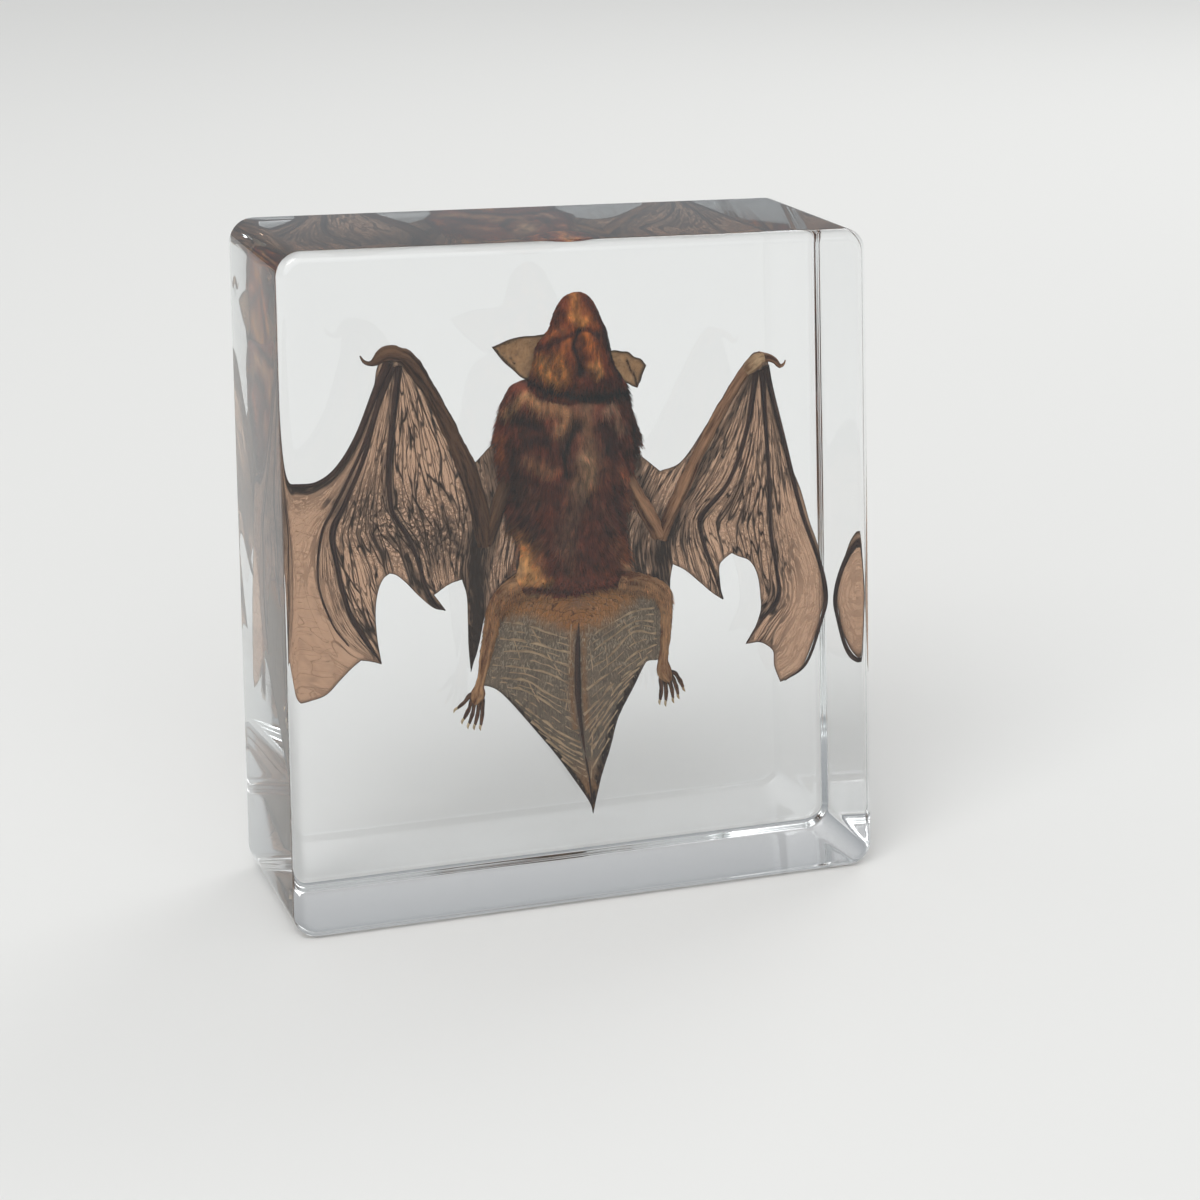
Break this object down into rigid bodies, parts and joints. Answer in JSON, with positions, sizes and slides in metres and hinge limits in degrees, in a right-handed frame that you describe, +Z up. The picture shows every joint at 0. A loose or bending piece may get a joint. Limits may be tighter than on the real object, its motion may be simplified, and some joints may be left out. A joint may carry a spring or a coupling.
{
  "type": "bat in resin block",
  "caption": "Dried bat with half-folded wings, set belly forward inside an upright clear resin block that stands on its own flat base.",
  "frame": {"origin": "middle of the block's bounding box, on its bottom face", "axes": "+Z up through the bat's head, -Y out of the front face that the bat's belly is turned to, +X to the viewer's right"},
  "size_m": [0.0994, 0.0396, 0.1114],
  "materials": {
    "clear_resin": "clear cast polyester, polished",
    "fur": "matted fur",
    "head_fur": "short matted fur",
    "wing_skin": "thin dried skin, wrinkled",
    "limb_skin": "dried skin",
    "tail_skin": "thin dried skin, translucent"
  },
  "bodies": {
    "root": {"resin_front": "clear_resin", "resin_back": "clear_resin", "head": "head_fur", "ear_left": "limb_skin", "ear_right": "limb_skin", "torso": "fur", "wing_left": "wing_skin", "wing_right": "wing_skin", "leg_left": "limb_skin", "leg_right": "limb_skin", "tail_membrane": "tail_skin"}
  },
  "joints": []
}
